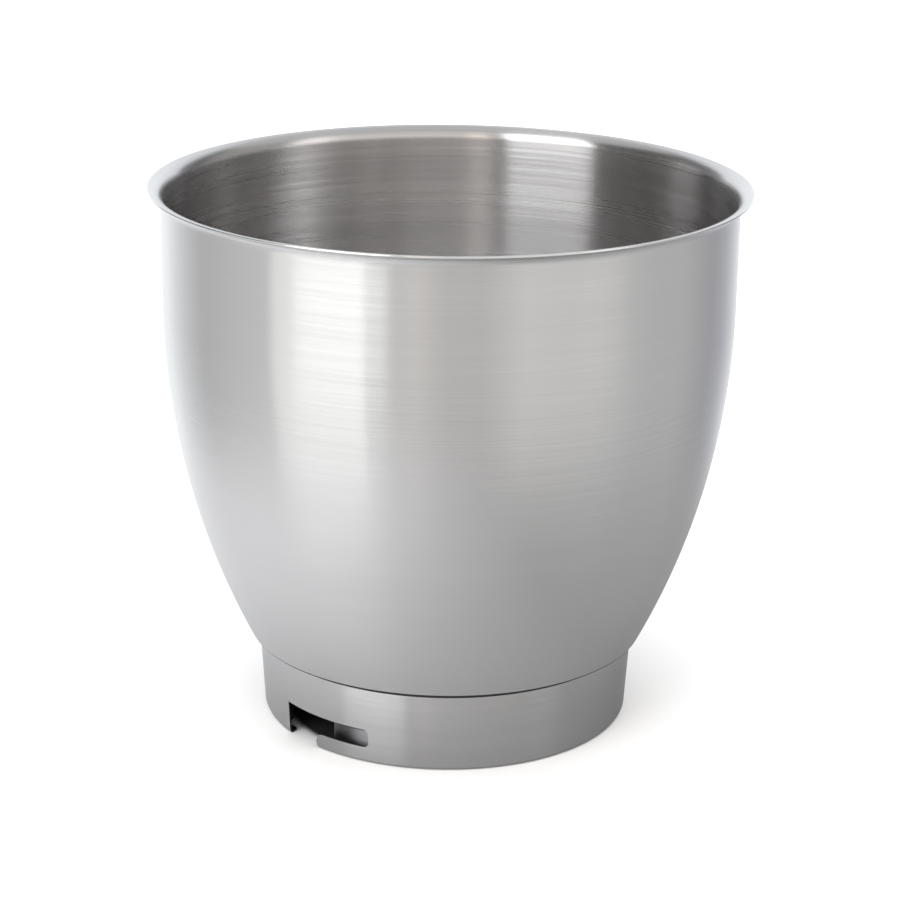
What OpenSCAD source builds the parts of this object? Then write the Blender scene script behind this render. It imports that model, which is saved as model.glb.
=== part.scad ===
// Stainless steel bowl of a large planetary stand mixer.
// A deep-drawn bowl with a flared lip stands in a pressed foot ring. The foot ring has bayonet slots
// that lock onto lugs in the mixer's base. Millimetres, +Z up, origin at the centre of the resting face.

/* [Bowl] */
// Overall height, from the resting face to the top of the lip
height = 222; // [200:0.5:260]
// Outside diameter over the lip
rim_d = 242; // [238:0.5:262]
// Thickness of the bowl's sheet
sheet = 0.9; // [0.6:0.1:1.4]
// Height of the straight wall, from the top of the lip down to where the flank starts to curve
straight_h = 46; // [30:0.5:60]

/* [Lip] */
// How far the lip stands out past the straight upper wall
lip_reach = 5.2; // [4.8:0.1:9]
// Radius of the hollow under the flared lip
lip_bend_r = 4.4; // [2:0.1:4.6]
// How far the sheet turns outward at the lip, in degrees
lip_turn = 80; // [65:1:88]

/* [Bowl bottom] */
// Outside radius of the corner where the flank turns under to the seat of the foot ring
corner_r = 2.4; // [1.8:0.1:4]
// How far the flat seat under the bowl reaches past the foot ring, to where the corner starts
seat_lap = 2; // [0.5:0.1:6]
// Outside radius of the round between the neck and the bottom
bottom_r = 22; // [12:0.5:23]
// Height of the bottom's underside above the resting face
bottom_lift = 11; // [9:0.5:12]
// Diameter of the raised crown in the middle of the bottom
crown_d = 70; // [40:1:90]
// Rise of the crown
crown_rise = 5; // [2:0.5:8]
// Radius of the sweep from the flat bottom up into the crown
crown_sweep_r = 30; // [15:1:40]

/* [Foot ring] */
// Height of the foot ring, from the resting face to the shoulder of the bowl
ring_h = 34; // [33.5:0.5:40]
// Outside diameter of the foot ring at its top
ring_top_d = 156.4; // [150:0.2:158]
// How much narrower the foot ring is across at the resting face than at its top
ring_narrowing = 4; // [1:0.2:8]
// Thickness of the ring's sheet
ring_sheet = 1.1; // [0.8:0.1:1.4]
// Outside radius of the folds along the foot
fold_r = 1.7; // [1.5:0.1:2.2]
// Width of the foot channel between the wall and the inner hem, at the resting face
channel_w = 5.1; // [4.6:0.1:6.5]
// Height of the inner hem
hem_h = 10.6; // [8:0.2:11]
// Gap between the ring's top edge and the neck of the bowl
neck_gap = 0.5; // [0.3:0.1:0.8]

/* [Bayonet slots] */
// Number of slots, equally spaced
slot_count = 2; // [1:1:3]
// Direction of the first slot's open edge, in degrees from +X
slot_start = 213.9; // [180:0.1:240]
// Width of the entry, in degrees round the ring
entry_turn = 13.3; // [10:0.1:16]
// Turn from the open edge of the entry to the closed end, in degrees
lock_turn = 33; // [26:0.5:45]
// Height of the tongue below the slot
tongue_h = 6.8; // [5:0.1:9]
// Radius of the tongue's nose, a little over half the tongue's height
nose_r = 3.8; // [3:0.1:5]
// Clear height of the slot
slot_h = 7.9; // [5:0.1:10]
// Radius of the slot's corners at its closed end
slot_corner_r = 2.4; // [1:0.1:2.4]

/* [Hidden] */
$fn = 96;

STEEL = [0.72, 0.72, 0.73];
RING_STEEL = [0.66, 0.66, 0.67];

// Extra reach of a cutter past the faces that it opens
over = 2;

rim_r = rim_d / 2;
wall_r = rim_r - lip_reach;
ring_top_r = ring_top_d / 2;
ring_foot_r = ring_top_r - ring_narrowing / 2;
crown_r = crown_d / 2;

// Corner over the seat of the foot ring
corner_x = ring_top_r + seat_lap;
corner_z = ring_h + corner_r;

// Flank: the one round that is tangent to both the straight wall and the corner
flank_z = height - straight_h;
flank_in = wall_r - corner_x;
flank_down = flank_z - corner_z;
flank_r = (flank_in ^ 2 + flank_down ^ 2 - corner_r ^ 2) / (2 * (flank_in - corner_r));
flank_x = wall_r - flank_r;
flank_turn = asin(flank_down / (flank_r - corner_r));

// Neck: the step below the corner, inside the foot ring
ring_taper = atan((ring_top_r - ring_foot_r) / ring_h);
neck_r = ring_top_r - ring_sheet / cos(ring_taper) - neck_gap;
bottom_x = neck_r - bottom_r;
bottom_z = bottom_lift + bottom_r;

// Crown: two tangent rounds, the sweep up from the flat and the dome across the axis
crown_turn = 2 * atan(crown_rise / crown_r);
crown_dome_r = crown_r / sin(crown_turn) - crown_sweep_r;
crown_dome_z = bottom_lift + crown_sweep_r - (crown_sweep_r + crown_dome_r) * cos(crown_turn);

// Lip: a round turned outward from the wall, then a short flat with a rounded edge.
// Its start is kept to a whole micron, so that it meets the wall exactly.
lip_x = wall_r + lip_bend_r;
lip_mid_r = lip_bend_r + sheet / 2;
lip_flat = (rim_r - sheet / 2 - lip_x + lip_mid_r * cos(lip_turn)) / sin(lip_turn);
lip_top = lip_flat * cos(lip_turn) + lip_mid_r * sin(lip_turn) + sheet / 2;
lip_z = round((height - lip_top) * 1000) / 1000;

// Foot ring: the centres of its folds stand a fold radius inside the wall, the foot and the hem
fold_x = ring_foot_r + fold_r * (tan(ring_taper) - 1 / cos(ring_taper));
hem_face_r = ring_foot_r - ring_sheet - channel_w;
hem_back_r = hem_face_r - ring_sheet;
hem_x = hem_back_r + fold_r;
channel_mid_r = hem_face_r + channel_w / 2;
slot_top = tongue_h + slot_h;

// Slot: places across it, measured from its middle
slot_end_x = ring_foot_r * sin(lock_turn / 2);
nose_x = ring_foot_r * sin(entry_turn - lock_turn / 2);
// How far the foot and the hem reach past the tip of the tongue's nose
foot_lead = 0.2;

// The half section enclosed by the bowl's outside below the lip, drawn in by an inset
module bowl_fill(inset, top) {
    flank_foot = corner_z - (corner_r - inset) * sin(flank_turn);
    neck_top = ring_h - neck_gap;
    translate([0, flank_z]) square([wall_r - inset, top - flank_z]);
    intersection() {
        translate([flank_x, flank_z]) circle(flank_r - inset);
        translate([0, flank_foot]) square([wall_r, flank_z - flank_foot + over]);
    }
    translate([corner_x, corner_z]) circle(corner_r - inset);
    translate([0, ring_h + inset]) square([corner_x, corner_r]);
    // Step in to the neck, with a round that clears the edge of the ring
    difference() {
        translate([0, neck_top]) square([neck_r + neck_gap, corner_r]);
        translate([neck_r + neck_gap, neck_top]) circle(neck_gap + inset);
        translate([neck_r - inset, neck_top - over]) square([over, over]);
    }
    translate([0, bottom_z]) square([neck_r - inset, ring_h - bottom_z]);
    translate([bottom_x, bottom_z]) circle(bottom_r - inset);
    translate([0, bottom_lift + inset]) square([bottom_x, bottom_r]);
}

// The half section of the hollow under the crown, raised by a depth of sheet
module crown_hollow(depth) {
    side = (crown_dome_r + depth) * sin(crown_turn);
    sweep_z = bottom_lift + crown_sweep_r;
    intersection() {
        translate([0, crown_dome_z]) circle(crown_dome_r + depth);
        square([side, height]);
    }
    difference() {
        square([crown_r, sweep_z - (crown_sweep_r - depth) * cos(crown_turn)]);
        translate([crown_r, sweep_z]) circle(crown_sweep_r - depth);
    }
}

module lip_section() {
    reach = 3 * lip_mid_r;
    translate([lip_x, lip_z]) {
        intersection() {
            difference() {
                circle(lip_bend_r + sheet);
                circle(lip_bend_r);
            }
            translate([-reach, 0]) square(reach);
            rotate(90 - lip_turn) translate([-reach, -reach]) square([reach, 2 * reach]);
        }
        rotate(90 - lip_turn) {
            translate([0, lip_bend_r]) square([lip_flat, sheet]);
            translate([lip_flat, lip_mid_r]) circle(sheet / 2);
        }
    }
}

module bowl_shell() {
    color(STEEL) rotate_extrude() {
        lip_section();
        difference() {
            bowl_fill(0, lip_z);
            difference() {
                bowl_fill(sheet, height);
                crown_hollow(sheet);
            }
            crown_hollow(0);
        }
    }
}

// The half section between the ring's wall and its hem, down to the foot, drawn in by an inset
module ring_fill(inset, top) {
    lean = [cos(ring_taper), -sin(ring_taper)];
    polygon([
        [hem_back_r + inset, fold_r],
        [fold_x, fold_r],
        [fold_x, fold_r] + (fold_r - inset) * lean,
        [ring_foot_r + top * tan(ring_taper) - inset / cos(ring_taper), top],
        [hem_back_r + inset, top],
    ]);
    for (x = [hem_x, fold_x]) translate([x, fold_r]) circle(fold_r - inset);
    translate([hem_x, inset]) square([fold_x - hem_x, fold_r]);
}

// Wall, foot and hem of the pressed ring, with the hem's edge rounded
module ring_section() {
    hem_edge = hem_h - ring_sheet / 2;
    difference() {
        ring_fill(0, ring_h);
        ring_fill(ring_sheet, ring_h + over);
        translate([hem_back_r - over, hem_edge]) square([channel_mid_r - hem_back_r + over, ring_h]);
    }
    translate([hem_back_r + ring_sheet / 2, hem_edge]) circle(ring_sheet / 2);
}

// A rectangle between two corners
module span(low, high) {
    polygon([low, [high.x, low.y], high, [low.x, high.y]]);
}

// What stays of a slot's closed end outside its corner, which is rounded up or down
module slot_corner(z, up) {
    inner = [slot_end_x - slot_corner_r, z - up * slot_corner_r];
    outer = [slot_end_x + over, z + up * over];
    difference() {
        span([inner.x, min(inner.y, outer.y)], [outer.x, max(inner.y, outer.y)]);
        translate(inner) circle(slot_corner_r);
    }
}

// A slot seen from outside: the entry, the run over the round-nosed tongue and the closed end
module slot_outline() {
    difference() {
        span([-slot_end_x, -over], [slot_end_x, slot_top]);
        translate([nose_x + nose_r, tongue_h - nose_r]) circle(nose_r);
        span([nose_x + nose_r, -2 * over], [slot_end_x + over, tongue_h]);
        slot_corner(slot_top, 1);
        slot_corner(tongue_h, -1);
    }
}

// One stroke through the ring's section. Past the entry, the foot and the hem stay whole.
module slot_punch() {
    rotate([90, 0, 90]) difference() {
        translate([0, 0, ring_foot_r / 2]) linear_extrude(ring_foot_r / 2 + 2 * over) slot_outline();
        rotate([-90, 0, 0]) intersection() {
            translate([0, 0, -2 * over]) cylinder(h = slot_top + 3 * over, r = channel_mid_r);
            translate([nose_x - foot_lead, -ring_top_r, -3 * over]) cube(ring_top_d);
        }
    }
}

module foot_ring() {
    color(RING_STEEL) difference() {
        rotate_extrude() ring_section();
        for (i = [0 : slot_count - 1])
            rotate(slot_start + lock_turn / 2 + i * 360 / slot_count) slot_punch();
    }
}

bowl_shell();
foot_ring();
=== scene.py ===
"""Brushed stainless steel bowl of a stand mixer, on a white sweep in a studio."""
import math

import bpy
from mathutils import Matrix, Vector


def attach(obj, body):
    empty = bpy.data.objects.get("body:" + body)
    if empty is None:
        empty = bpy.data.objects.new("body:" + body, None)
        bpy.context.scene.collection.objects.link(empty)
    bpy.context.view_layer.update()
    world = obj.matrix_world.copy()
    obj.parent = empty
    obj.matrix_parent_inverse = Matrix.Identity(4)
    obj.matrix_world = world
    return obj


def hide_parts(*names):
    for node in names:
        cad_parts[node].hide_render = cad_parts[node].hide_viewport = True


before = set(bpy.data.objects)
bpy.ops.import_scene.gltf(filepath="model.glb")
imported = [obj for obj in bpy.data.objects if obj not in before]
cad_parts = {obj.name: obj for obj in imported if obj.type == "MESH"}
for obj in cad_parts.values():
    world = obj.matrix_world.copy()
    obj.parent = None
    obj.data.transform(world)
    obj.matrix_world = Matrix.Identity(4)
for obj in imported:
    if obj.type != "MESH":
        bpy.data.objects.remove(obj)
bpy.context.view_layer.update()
scene = bpy.context.scene
# Plain display, so that the white sweep is white
scene.view_settings.view_transform = "Standard"

MM = 0.001
UP = Vector((0, 0, 1))


def add_object(name, data):
    made = bpy.data.objects.new(name, data)
    scene.collection.objects.link(made)
    return made


# ---------- camera, at the photograph's viewing angle

# Pitch, yaw and roll in degrees, the place in metres, and a lens for a full frame
CAMERA_TURNS = (18.4217, 0.0816, 0.7171)
CAMERA_PLACE = (0, -1.00296, 0.44319)
LENS_MM, SENSOR_MM = 101.93, 36


def add_camera():
    pitch, yaw, roll = (math.radians(angle) for angle in CAMERA_TURNS)
    forward = Vector((math.sin(yaw) * math.cos(pitch), math.cos(yaw) * math.cos(pitch),
                      -math.sin(pitch)))
    side = forward.cross(UP).normalized()
    over = side.cross(forward)
    right = math.cos(roll) * side + math.sin(roll) * over
    top = math.cos(roll) * over - math.sin(roll) * side
    lens = bpy.data.cameras.new("camera")
    lens.sensor_width = SENSOR_MM
    lens.lens = LENS_MM
    camera = add_object("camera", lens)
    turn = Matrix((right, top, -forward)).transposed().to_4x4()
    camera.matrix_world = Matrix.Translation(CAMERA_PLACE) @ turn
    scene.camera = camera


# ---------- small tools for nodes and meshes

# Millimetres: points nearer than this are one point, and points this near the axis are on it
SAME_POINT, ON_AXIS = 1e-4, 1e-3


def linear(hex_colour):
    """An sRGB hex colour as linear RGBA."""
    parts = [int(hex_colour[i:i + 2], 16) / 255 for i in (0, 2, 4)]
    return [c / 12.92 if c <= 0.04045 else ((c + 0.055) / 1.055) ** 2.4 for c in parts] + [1.0]


def add_node(tree, kind, inputs=None, **settings):
    """Adds one node with its settings. Each input is set to a value or linked to an output."""
    made = tree.nodes.new(kind)
    for name, value in settings.items():
        setattr(made, name, value)
    for key, value in (inputs or {}).items():
        if isinstance(value, bpy.types.NodeSocket):
            tree.links.new(value, made.inputs[key])
        else:
            made.inputs[key].default_value = value
    return made


def bare_tree(owner):
    """The emptied node tree of a material or a world."""
    owner.use_nodes = True
    owner.node_tree.nodes.clear()
    return owner.node_tree


def arc(centre, radius, start, stop, steps):
    """Points (radius, height) of an arc in the half section, angles in degrees from outward."""
    angles = [math.radians(start + (stop - start) * i / steps) for i in range(steps + 1)]
    return [(centre[0] + radius * math.cos(a), centre[1] + radius * math.sin(a)) for a in angles]


def line(start, stop, steps):
    """Points of a straight run in the half section."""
    return [(start[0] + (stop[0] - start[0]) * i / steps,
             start[1] + (stop[1] - start[1]) * i / steps) for i in range(steps + 1)]


def revolve(name, sections, turns):
    """Turns a half section in millimetres round Z. Each section is its points and its material."""
    mesh = bpy.data.meshes.new(name)
    points, finish = [], []
    for index, (section, material) in enumerate(sections):
        mesh.materials.append(material)
        for point in section:
            if points and math.dist(point, points[-1]) < SAME_POINT:
                continue
            points.append(point)
            finish.append(index)
    verts, rows = [], []
    for radius, height in points:
        if radius < ON_AXIS:
            rows.append([len(verts)] * turns)
            verts.append((0, 0, height * MM))
            continue
        rows.append(range(len(verts), len(verts) + turns))
        for i in range(turns):
            a = math.tau * i / turns
            verts.append((radius * MM * math.cos(a), radius * MM * math.sin(a), height * MM))
    # A closed section ends on the row of points that it starts from
    if math.dist(points[0], points[-1]) < SAME_POINT:
        rows[-1] = rows[0]
        verts = verts[:-turns]
    faces, indices = [], []
    for k in range(1, len(points)):
        low, high = rows[k - 1], rows[k]
        for i in range(turns):
            j = (i + 1) % turns
            corners = [low[i], low[j], high[j], high[i]]
            # On the axis two corners are one point, and the face is a triangle
            corners = [v for n, v in enumerate(corners) if v not in corners[:n]]
            faces.append(corners)
            indices.append(finish[k])
    mesh.from_pydata(verts, [], faces)
    mesh.polygons.foreach_set("material_index", indices)
    mesh.shade_smooth()
    mesh.update()
    return add_object(name, mesh)


# ---------- finishes

def brushed_steel(name, colour, sheen, line_mm, run_mm, tilt, patchiness):
    """Stainless steel, 18/10, brushed round the bowl with an abrasive belt while it turned.

    The lines run round the axis, so a light draws out into an upright streak. Each line is line_mm
    wide and run_mm long, wider than the real grit's so that it shows in the picture. It is a little
    lighter or darker, by up to the patchiness, and its sides tilt the steel's face up or down by up
    to about the tilt. The sheen is the roughness in the middle of that.
    """
    material = bpy.data.materials.new(name)
    tree = bare_tree(material)
    place = add_node(tree, "ShaderNodeTexCoord").outputs["Object"]
    axes = add_node(tree, "ShaderNodeSeparateXYZ", {0: place})
    flat = add_node(tree, "ShaderNodeVectorMath", {0: place, 1: (1, 1, 0)}, operation="MULTIPLY")
    outward = add_node(tree, "ShaderNodeVectorMath", {0: flat.outputs[0]}, operation="NORMALIZE")
    radius = add_node(tree, "ShaderNodeVectorMath", {0: flat.outputs[0]}, operation="LENGTH")
    # Height and radius together change all along the section, on its walls and on its floor
    along = add_node(tree, "ShaderNodeMath", {0: axes.outputs["Z"], 1: radius.outputs["Value"]})

    def lines(width, length, detail):
        # Metres along the section, in noise cells as wide as a line
        across = add_node(tree, "ShaderNodeMath", {0: along.outputs[0], 1: 1000 / width},
                          operation="MULTIPLY")
        up = add_node(tree, "ShaderNodeCombineXYZ", {2: across.outputs[0]})
        # One noise cell of the given length at 100 mm from the axis
        round_it = add_node(tree, "ShaderNodeVectorMath",
                            {0: outward.outputs[0], "Scale": 100 / length}, operation="SCALE")
        where = add_node(tree, "ShaderNodeVectorMath", {0: up.outputs[0], 1: round_it.outputs[0]})
        return add_node(tree, "ShaderNodeTexNoise", {
            "Vector": where.outputs[0], "Scale": 1.0, "Detail": detail,
            "Roughness": 0.7}).outputs[0]

    # Single lines, and bands of them 8 times as wide and 3 times as long where the belt pressed
    fine = lines(line_mm, run_mm, 3.0)
    broad = lines(line_mm * 8, run_mm * 3, 2.0)
    both = add_node(tree, "ShaderNodeMix", {0: 0.4, 2: fine, 3: broad})
    # Most of the mixed noise is between 0.3 and 0.7
    noise = {"Value": both.outputs[0], "From Min": 0.3, "From Max": 0.7}
    rough = add_node(tree, "ShaderNodeMapRange", {
        **noise, "To Min": sheen - patchiness / 2, "To Max": sheen + patchiness / 2})
    tone = add_node(tree, "ShaderNodeMapRange", {
        **noise, "To Min": 1 - patchiness, "To Max": 1 + patchiness})
    tint = add_node(tree, "ShaderNodeVectorMath",
                    {0: linear(colour)[:3], "Scale": tone.outputs[0]}, operation="SCALE")
    # The face tilts only across the lines, never along them
    face = add_node(tree, "ShaderNodeNewGeometry").outputs["Normal"]
    round_way = add_node(tree, "ShaderNodeVectorMath", {0: (0, 0, 1), 1: outward.outputs[0]},
                         operation="CROSS_PRODUCT")
    across_way = add_node(tree, "ShaderNodeVectorMath", {0: face, 1: round_way.outputs[0]},
                          operation="CROSS_PRODUCT")
    lean = add_node(tree, "ShaderNodeMapRange", {
        "Value": fine, "From Min": 0.25, "From Max": 0.75, "To Min": -tilt, "To Max": tilt})
    step = add_node(tree, "ShaderNodeVectorMath",
                    {0: across_way.outputs[0], "Scale": lean.outputs[0]}, operation="SCALE")
    tilted = add_node(tree, "ShaderNodeVectorMath", {0: face, 1: step.outputs[0]})
    normal = add_node(tree, "ShaderNodeVectorMath", {0: tilted.outputs[0]}, operation="NORMALIZE")
    # A quarter turn sets the stretched highlight across the lines
    tangent = add_node(tree, "ShaderNodeTangent", direction_type="RADIAL", axis="Z")
    shader = add_node(tree, "ShaderNodeBsdfPrincipled", {
        "Base Color": tint.outputs[0], "Metallic": 1.0, "Roughness": rough.outputs[0],
        "Anisotropic": 1.0, "Anisotropic Rotation": 0.25, "Normal": normal.outputs[0],
        "Tangent": tangent.outputs[0]})
    add_node(tree, "ShaderNodeOutputMaterial", {"Surface": shader.outputs[0]})
    return material


def dull_finish(name, colour, roughness, metallic):
    """Dull and dark: a sheared edge that the belt doesn't reach, or the painted shadow in a joint.
    """
    material = bpy.data.materials.new(name)
    tree = bare_tree(material)
    place = add_node(tree, "ShaderNodeTexCoord").outputs["Object"]
    # Mottling about 2 mm across, a little lighter and darker
    mottle = add_node(tree, "ShaderNodeTexNoise", {"Vector": place, "Scale": 500, "Detail": 3.0})
    tone = add_node(tree, "ShaderNodeMapRange", {
        "Value": mottle.outputs[0], "To Min": 0.8, "To Max": 1.2})
    tint = add_node(tree, "ShaderNodeVectorMath",
                    {0: linear(colour)[:3], "Scale": tone.outputs[0]}, operation="SCALE")
    shader = add_node(tree, "ShaderNodeBsdfPrincipled", {
        "Base Color": tint.outputs[0], "Metallic": metallic, "Roughness": roughness})
    add_node(tree, "ShaderNodeOutputMaterial", {"Surface": shader.outputs[0]})
    return material


# Fine, even lines: the room stands in the wall as upright strips of light and grey
outside_steel = brushed_steel("brushed_stainless_outside", "D6D6D6", sheen=0.19, line_mm=0.7,
                              run_mm=90, tilt=0.03, patchiness=0.02)
# Brushed coarser: long streaks round the inside, and softer lights between them
inside_steel = brushed_steel("brushed_stainless_inside", "C8C7C7", sheen=0.26, line_mm=0.9,
                             run_mm=150, tilt=0.1, patchiness=0.08)
# The rounded edge is polished smooth for the hand, and draws a thin light line round the mouth
lip_steel = brushed_steel("polished_lip_edge", "DEDEDD", sheen=0.2, line_mm=0.7,
                          run_mm=60, tilt=0.02, patchiness=0.01)
# Brushed as the bowl is, and a shade darker, so that the foot reads as a piece of its own
ring_steel = brushed_steel("brushed_stainless_ring", "C6C6C6", sheen=0.21, line_mm=0.7,
                           run_mm=60, tilt=0.03, patchiness=0.025)
# Never brushed after pressing, and darker still as painted shade inside the ring: a plain grey band
# behind the slot
hem_steel_and_shade = brushed_steel("pressed_steel_and_painted_shade_in_the_ring", "868688", sheen=0.35, line_mm=1.5,
                          run_mm=60, tilt=0.05, patchiness=0.06)
# Torn steel where the slot was sheared: a dark outline to it
cut_steel = dull_finish("sheared_slot_edge", "3E3E40", roughness=0.45, metallic=1.0)
# Painted shadow: a dark line between the bowl and its ring, standing for the shade in the seam
painted_seam_shadow = dull_finish("painted_shadow_in_the_seam", "18181A", roughness=0.8, metallic=0.0)


# ---------- sizes of the foot ring and its slots, in millimetres and degrees, as in the solids

RING_TOP_R, RING_FOOT_R, RING_H, RING_SHEET = 78.2, 76.2, 34.0, 1.1
RING_TAPER = math.atan((RING_TOP_R - RING_FOOT_R) / RING_H)
CHANNEL_W, HEM_H = 5.1, 10.6
CHANNEL_MID_R = RING_FOOT_R - RING_SHEET - CHANNEL_W / 2
SLOT_COUNT, SLOT_START, ENTRY_TURN, LOCK_TURN = 2, 213.9, 13.3, 33.0
# Straight steps in a full turn, enough for smooth reflections
TURNS = 360


# ---------- the bowl

def bowl_sections():
    """The bowl's half section: from the axis along the underside, over the lip and back inside."""
    sheet, height, straight_h = 0.9, 222.0, 46.0
    wall_r, rim_r = 115.8, 121.0
    corner_r, seat_lap = 2.4, 2.0
    corner_x, corner_z = RING_TOP_R + seat_lap, RING_H + corner_r
    # One round is tangent to both the straight wall and the corner
    flank_z = height - straight_h
    flank_in, flank_down = wall_r - corner_x, flank_z - corner_z
    flank_r = (flank_in ** 2 + flank_down ** 2 - corner_r ** 2) / (2 * (flank_in - corner_r))
    flank_x = wall_r - flank_r
    flank_turn = math.degrees(math.asin(flank_down / (flank_r - corner_r)))
    # How far round the corner from the flank the steel stays brushed, in degrees. Below that the
    # corner is painted dark as the seam's shadow.
    brushed_corner_turn = 3
    neck_gap = 0.5
    neck_r = RING_TOP_R - RING_SHEET / math.cos(RING_TAPER) - neck_gap
    neck_top = RING_H - neck_gap
    bottom_r, bottom_lift = 22.0, 11.0
    bottom_x, bottom_z = neck_r - bottom_r, bottom_lift + bottom_r
    crown_r, crown_rise, sweep_r = 35.0, 5.0, 30.0
    crown_turn = math.degrees(2 * math.atan(crown_rise / crown_r))
    dome_r = crown_r / math.sin(math.radians(crown_turn)) - sweep_r
    dome_z = bottom_lift + sweep_r - (sweep_r + dome_r) * math.cos(math.radians(crown_turn))
    bend_r, lip_turn = 4.4, math.radians(80)
    mid_r = bend_r + sheet / 2
    lip_x = wall_r + bend_r
    lip_flat = (rim_r - sheet / 2 - lip_x + mid_r * math.cos(lip_turn)) / math.sin(lip_turn)
    lip_z = height - (lip_flat * math.cos(lip_turn) + mid_r * math.sin(lip_turn) + sheet / 2)
    lean = math.pi / 2 - lip_turn

    def on_lip(out, over):
        """A point so far out along the lip's flat and so far over its bend's centre."""
        return (lip_x + out * math.cos(lean) - over * math.sin(lean),
                lip_z + out * math.sin(lean) + over * math.cos(lean))

    edge = on_lip(lip_flat, mid_r)
    under = (arc((0, dome_z), dome_r, 90, 90 - crown_turn, 10)
             + arc((crown_r, bottom_lift + sweep_r), sweep_r, -90 - crown_turn, -90, 8)
             + line((crown_r, bottom_lift), (bottom_x, bottom_lift), 4)
             + arc((bottom_x, bottom_z), bottom_r, -90, 0, 20)
             + line((neck_r, bottom_z), (neck_r, neck_top), 1)
             + arc((neck_r + neck_gap, neck_top), neck_gap, 180, 90, 5)
             + line((neck_r + neck_gap, RING_H), (corner_x, RING_H), 1))
    # Painted shadow: the corner's underside is dark, for the shade in the seam above the ring
    corner = arc((corner_x, corner_z), corner_r, -90, -flank_turn - brushed_corner_turn, 10)
    outside = (arc((corner_x, corner_z), corner_r, -flank_turn - brushed_corner_turn, -flank_turn, 2)
               + arc((flank_x, flank_z), flank_r, -flank_turn, 0, 48)
               + line((wall_r, flank_z), (wall_r, lip_z), 14)
               + arc((lip_x, lip_z), bend_r, 180, 100, 14)
               + line(on_lip(0, bend_r), on_lip(lip_flat, bend_r), 2))
    rim = arc(edge, sheet / 2, -80, 100, 10)
    inside = (line(on_lip(lip_flat, bend_r + sheet), on_lip(0, bend_r + sheet), 2)
              + arc((lip_x, lip_z), bend_r + sheet, 100, 180, 16)
              + line((wall_r - sheet, lip_z), (wall_r - sheet, flank_z), 14)
              + arc((flank_x, flank_z), flank_r - sheet, 0, -flank_turn, 48)
              + arc((corner_x, corner_z), corner_r - sheet, -flank_turn, -90, 8)
              + line((corner_x, RING_H + sheet), (neck_r + neck_gap, RING_H + sheet), 1)
              + arc((neck_r + neck_gap, neck_top), neck_gap + sheet, 90, 180, 8)
              + line((neck_r - sheet, neck_top), (neck_r - sheet, bottom_z), 1)
              + arc((bottom_x, bottom_z), bottom_r - sheet, 0, -90, 20)
              + line((bottom_x, bottom_lift + sheet), (crown_r, bottom_lift + sheet), 4)
              + arc((crown_r, bottom_lift + sweep_r), sweep_r - sheet, -90, -90 - crown_turn, 8)
              + arc((0, dome_z), dome_r + sheet, 90 - crown_turn, 90, 10))
    return [(under, outside_steel), (corner, painted_seam_shadow), (outside, outside_steel),
            (rim, lip_steel), (inside, inside_steel)]


def add_bowl():
    bowl = revolve("bowl_drawn_steel", bowl_sections(), TURNS)
    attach(bowl, "root")
    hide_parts("bowl_shell")


# ---------- the foot ring

def ring_section():
    """The foot ring's closed half section: wall, folded foot and inner hem."""
    # Outside radius of the folds, and the round of the top edge, which is painted dark as the
    # seam's shadow
    fold_r, round_r = 1.7, 1.6
    lean = math.degrees(RING_TAPER)
    fold = (RING_FOOT_R + fold_r * (math.tan(RING_TAPER) - 1 / math.cos(RING_TAPER)), fold_r)
    hem_back = RING_FOOT_R - RING_SHEET - CHANNEL_W - RING_SHEET
    hem_fold = (hem_back + fold_r, fold_r)
    hem_edge = (hem_back + RING_SHEET / 2, HEM_H - RING_SHEET / 2)
    inner_top = (RING_TOP_R - RING_SHEET / math.cos(RING_TAPER), RING_H)
    # Painted shadow: the ring's top and its rounded edge are dark, for the shade in the seam under
    # the bowl
    top = [inner_top] + arc((RING_TOP_R - round_r, RING_H - round_r), round_r, 90, 0, 6)
    outer = arc(fold, fold_r, -lean, -90, 8)
    hidden = (arc(hem_fold, fold_r, -90, -180, 8)
              + arc(hem_edge, RING_SHEET / 2, 180, 0, 8)
              + arc(hem_fold, fold_r - RING_SHEET, 180, 270, 6)
              + arc(fold, fold_r - RING_SHEET, -90, -lean, 6)
              + [inner_top])
    return [(top, painted_seam_shadow), (outer, ring_steel), (hidden, hem_steel_and_shade)]


# The ring's fourth material, which the faces of its cutters bring to the edges that they leave
CUT_FINISH = 3
# Millimetres: where the slots' outlines start under the foot, where the punch starts and stops on
# its way outward, and the lower and upper ends of the round cores
BELOW_FOOT, PUNCH_FROM, PUNCH_TO, CORE_LOW, CORE_TOP = -2.0, 40, 84, -5, 20
# The relief goes this far from the slot's middle, past the open edge of the entry, and this far
# up, over the hem
RELIEF_REACH, RELIEF_TOP = 30, 17


def slot_outline():
    """A slot as seen along its punch, (across, height): entry, run over the tongue, closed end."""
    tongue, nose_r, top, corner = 6.8, 3.8, 14.7, 2.4
    end = RING_FOOT_R * math.sin(math.radians(LOCK_TURN / 2))
    nose = RING_FOOT_R * math.sin(math.radians(ENTRY_TURN - LOCK_TURN / 2)) + nose_r
    return ([(-end, BELOW_FOOT), (nose, BELOW_FOOT)]
            + arc((nose, tongue - nose_r), nose_r, 270, 90, 24)
            + arc((end - corner, tongue + corner), corner, -90, 0, 8)
            + arc((end - corner, top - corner), corner, 0, 90, 8)
            + [(-end, top)])


def relief_outline():
    """What is cut from the hem behind a slot, up to the slot's middle."""
    return [(-RELIEF_REACH, BELOW_FOOT), (0, BELOW_FOOT), (0, RELIEF_TOP),
            (-RELIEF_REACH, RELIEF_TOP)]


def disc(radius):
    """A circle round the axis, in 180 points."""
    return arc((0, 0), radius, 0, 358, 179)


def upright(x, y, height):
    """Places an outline flat, as seen from above."""
    return (x, y, height)


def punch_along(angle):
    """Places an outline across a punch that moves outward at this angle from +X."""
    def place(across, height, depth):
        return (depth * math.cos(angle) - across * math.sin(angle),
                depth * math.sin(angle) + across * math.cos(angle), height)
    return place


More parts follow.
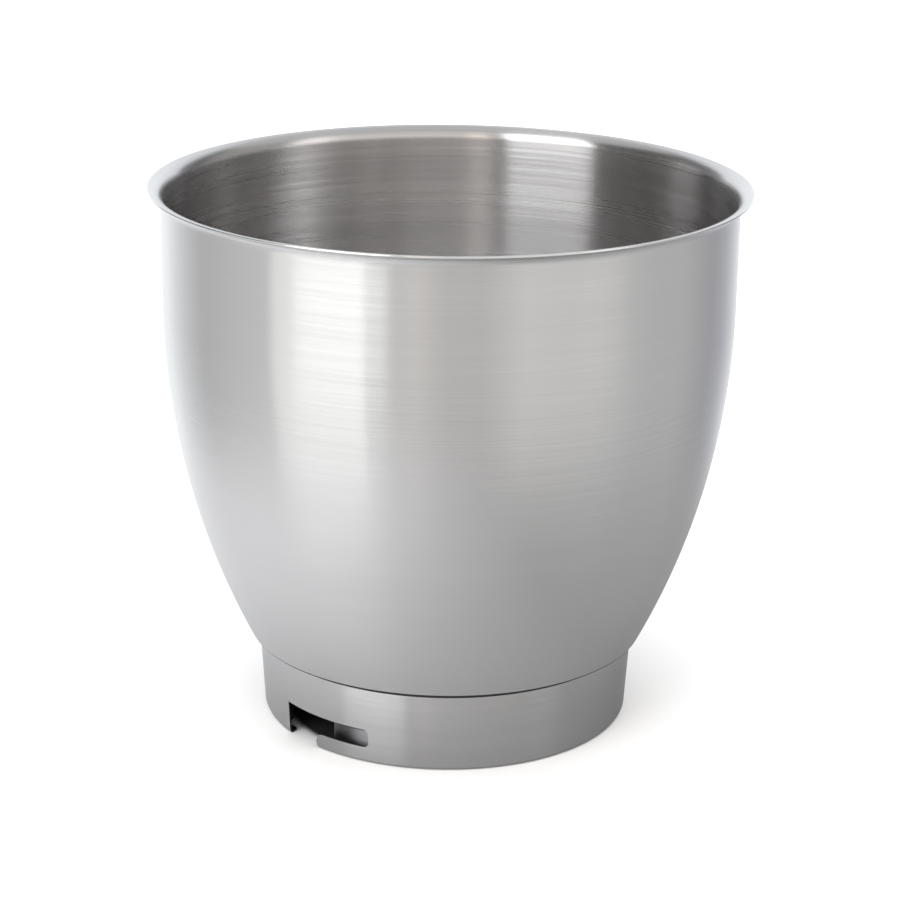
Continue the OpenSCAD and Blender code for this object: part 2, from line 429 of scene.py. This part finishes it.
def prism(name, outline, place, low, high):
    """A closed cutter: an outline in millimetres, placed at two depths."""
    count = len(outline)
    verts = [place(u * MM, v * MM, depth * MM) for depth in (low, high) for u, v in outline]
    faces = [list(range(count))[::-1], list(range(count, 2 * count))]
    faces += [(i, (i + 1) % count, (i + 1) % count + count, i + count) for i in range(count)]
    mesh = bpy.data.meshes.new(name)
    mesh.from_pydata(verts, [], faces)
    mesh.polygons.foreach_set("material_index", [CUT_FINISH] * len(faces))
    return add_object(name, mesh)


def cut(piece, tool, operation):
    """Cuts a piece with a tool, or keeps only what is inside the tool."""
    change = piece.modifiers.new(tool.name, "BOOLEAN")
    change.operation = operation
    change.solver = "EXACT"
    change.object = tool


def add_ring():
    ring = revolve("ring_pressed_steel", ring_section(), TURNS)
    ring.data.materials.append(cut_steel)
    tools = []
    for index in range(SLOT_COUNT):
        punch = punch_along(math.radians(SLOT_START + LOCK_TURN / 2 + 360 / SLOT_COUNT * index))
        # The slot goes through the wall and the outer half of the foot
        core = prism(f"core_{index}", disc(CHANNEL_MID_R), upright, CORE_LOW, CORE_TOP)
        slot = prism(f"slot_{index}", slot_outline(), punch, PUNCH_FROM, PUNCH_TO)
        cut(slot, core, "DIFFERENCE")
        # Behind the entry the hem and the inner half of the foot are cut away more widely, from
        # a hair outside the core, so that the two cuts meet
        within = prism(f"within_{index}", disc(CHANNEL_MID_R + 0.02), upright, CORE_LOW, CORE_TOP)
        relief = prism(f"relief_{index}", relief_outline(), punch, PUNCH_FROM, PUNCH_TO)
        cut(relief, within, "INTERSECT")
        cut(ring, slot, "DIFFERENCE")
        cut(ring, relief, "DIFFERENCE")
        tools += [core, slot, within, relief]
    depsgraph = bpy.context.evaluated_depsgraph_get()
    done = bpy.data.meshes.new_from_object(ring.evaluated_get(depsgraph))
    ring.modifiers.clear()
    ring.data = done
    for tool in tools:
        bpy.data.objects.remove(tool)
    # The cut edges stay crisp, and the steps of the rounds don't show
    done.shade_smooth()
    done.set_sharp_from_angle(angle=math.radians(35))
    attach(ring, "root")
    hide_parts("foot_ring")


# ---------- the studio

def add_sweep():
    """A white sweep under the bowl, lit so that it is white, with a soft shadow round the foot.

    Steel sees the sweep near the bowl, and further off it sees the room's panels instead.
    """
    material = bpy.data.materials.new("white_paper_sweep")
    tree = bare_tree(material)
    mirrored = add_node(tree, "ShaderNodeLightPath").outputs["Is Glossy Ray"]
    place = add_node(tree, "ShaderNodeTexCoord").outputs["Object"]
    away = add_node(tree, "ShaderNodeVectorMath", {0: place}, operation="LENGTH")
    # Darker under the foot, where no light gets in
    open_air = add_node(tree, "ShaderNodeMapRange", {
        "Value": away.outputs["Value"], "From Min": 0.0665, "From Max": 0.0705},
        interpolation_type="SMOOTHSTEP")
    bare = add_node(tree, "ShaderNodeMix", {
        0: open_air.outputs[0], 6: linear("303030"), 7: linear("E8E8E8")}, data_type="RGBA")
    # The steel sees more light from the sweep's left than from its right
    axes = add_node(tree, "ShaderNodeSeparateXYZ", {0: place})
    left = add_node(tree, "ShaderNodeMapRange", {
        "Value": axes.outputs["X"], "From Min": 0.1, "From Max": -0.15})
    dim = add_node(tree, "ShaderNodeMix", {
        0: left.outputs[0], 6: linear("8E8E8E"), 7: linear("C4C4C6")}, data_type="RGBA")
    shade = add_node(tree, "ShaderNodeMix", {
        0: mirrored, 6: bare.outputs[2], 7: dim.outputs[2]}, data_type="RGBA")
    paper = add_node(tree, "ShaderNodeBsdfDiffuse", {"Color": shade.outputs[2]})
    far = add_node(tree, "ShaderNodeMapRange", {
        "Value": away.outputs["Value"], "From Min": 0.2, "From Max": 0.45},
        interpolation_type="SMOOTHSTEP")
    unseen = add_node(tree, "ShaderNodeMath", {0: far.outputs[0], 1: mirrored},
                      operation="MULTIPLY")
    clear = add_node(tree, "ShaderNodeBsdfTransparent")
    both = add_node(tree, "ShaderNodeMixShader", {
        0: unseen.outputs[0], 1: paper.outputs[0], 2: clear.outputs[0]})
    add_node(tree, "ShaderNodeOutputMaterial", {"Surface": both.outputs[0]})
    half = 6
    mesh = bpy.data.meshes.new("sweep")
    mesh.from_pydata([(-half, -half, 0), (half, -half, 0), (half, half, 0), (-half, half, 0)],
                     [], [(0, 1, 2, 3)])
    mesh.materials.append(material)
    sweep = add_object("sweep", mesh)


def add_overhead():
    """A wide soft light over the sweep, which the steel doesn't mirror."""
    light = bpy.data.lights.new("overhead", "AREA")
    light.size = 6
    light.energy = 195
    overhead = add_object("overhead", light)
    overhead.location = (0, 0, 3)
    overhead.visible_glossy = False
    overhead.visible_camera = False


# Tones of the room round the bowl, by the direction in degrees from -Y, where the camera stands,
# towards +X. At the height of the bowl it is light at the left and behind, and grey in front and
# at the right.
LOW_PANELS = [
    (-180, "C4C6C9"), (-166, "D6D9DB"), (-150, "DADCDD"), (-126, "B8B9BB"), (-114, "A7A7A7"),
    (-74, "BCBCBC"), (-72, "DEDEDC"), (-34, "DEDEDC"), (-32, "BCBCBA"), (-13, "B4B2B1"),
    (0, "A9A7A6"), (13, "A8A7A6"), (30, "BBBAB9"), (51, "B7B6B5"), (89, "A7A7A7"),
    (104, "A5A5A5"), (126, "929296"), (138, "9C9DA2"), (163, "C8C9CC"), (180, "C4C6C9"),
]
# Above that, one white panel stands at the left, and greys in front, behind and at the right have
# dark gaps between them.
HIGH_PANELS = [
    (-180, "828486"), (-146, "828486"), (-141, "302F30"), (-122, "323132"), (-115, "454443"),
    (-105, "252423"), (-63, "191817"), (-61, "FFFFFF"), (-25, "FFFFFF"), (-23, "5C5A57"),
    (-18, "6A6763"), (-15, "A09890"), (-9, "A09890"), (-6, "85817D"), (40, "85817D"),
    (50, "868380"), (56, "A3A09E"), (68, "A3A09E"), (76, "5A5857"), (118, "545352"),
    (124, "2E2E30"), (141, "302F30"), (146, "828486"), (180, "828486"),
]
LOW_STRENGTH, HIGH_STRENGTH, CEILING_STRENGTH, BACKDROP_STRENGTH = 1.6, 5.3, 0.85, 1.05


def light_room():
    """The room that the steel mirrors: two bands of panels and a white ceiling."""
    world = bpy.data.worlds.new("studio")
    scene.world = world
    tree = bare_tree(world)
    direction = add_node(tree, "ShaderNodeTexCoord").outputs["Generated"]
    axes = add_node(tree, "ShaderNodeSeparateXYZ", {0: direction})
    front = add_node(tree, "ShaderNodeMath", {0: axes.outputs["Y"], 1: -1.0},
                     operation="MULTIPLY")
    turn = add_node(tree, "ShaderNodeMath", {0: axes.outputs["X"], 1: front.outputs[0]},
                    operation="ARCTAN2")
    place = add_node(tree, "ShaderNodeMapRange", {
        "Value": turn.outputs[0], "From Min": -math.pi, "From Max": math.pi})

    def panels(stops, strength):
        """A band of panels, from a ramp whose own last stop, a white one, is taken out first."""
        ramp = add_node(tree, "ShaderNodeValToRGB", {0: place.outputs[0]})
        elements = ramp.color_ramp.elements
        elements.remove(elements[1])
        for index, (angle, colour) in enumerate(stops):
            position = (angle + 180) / 360
            stop = elements[0] if index == 0 else elements.new(position)
            stop.position = position
            stop.color = linear(colour)
        return add_node(tree, "ShaderNodeBackground", {
            "Color": ramp.outputs[0], "Strength": strength}).outputs[0]

    def above(low, high):
        """How much of what is above shows, by the height of the direction."""
        return add_node(tree, "ShaderNodeMapRange", {
            "Value": axes.outputs["Z"], "From Min": low, "From Max": high},
            interpolation_type="SMOOTHSTEP").outputs[0]

    low = panels(LOW_PANELS, LOW_STRENGTH)
    high = panels(HIGH_PANELS, HIGH_STRENGTH)
    ceiling = add_node(tree, "ShaderNodeBackground", {
        "Color": linear("F2F3F4"), "Strength": CEILING_STRENGTH})
    walls = add_node(tree, "ShaderNodeMixShader", {0: above(0.0, 0.16), 1: low, 2: high})
    room = add_node(tree, "ShaderNodeMixShader", {
        0: above(0.6, 0.72), 1: walls.outputs[0], 2: ceiling.outputs[0]})
    # The camera itself sees plain white behind the bowl
    white = add_node(tree, "ShaderNodeBackground", {
        "Color": linear("FFFFFF"), "Strength": BACKDROP_STRENGTH})
    seen = add_node(tree, "ShaderNodeLightPath").outputs["Is Camera Ray"]
    both = add_node(tree, "ShaderNodeMixShader", {
        0: seen, 1: room.outputs[0], 2: white.outputs[0]})
    add_node(tree, "ShaderNodeOutputWorld", {"Surface": both.outputs[0]})


add_camera()
add_bowl()
add_ring()
add_sweep()
add_overhead()
light_room()
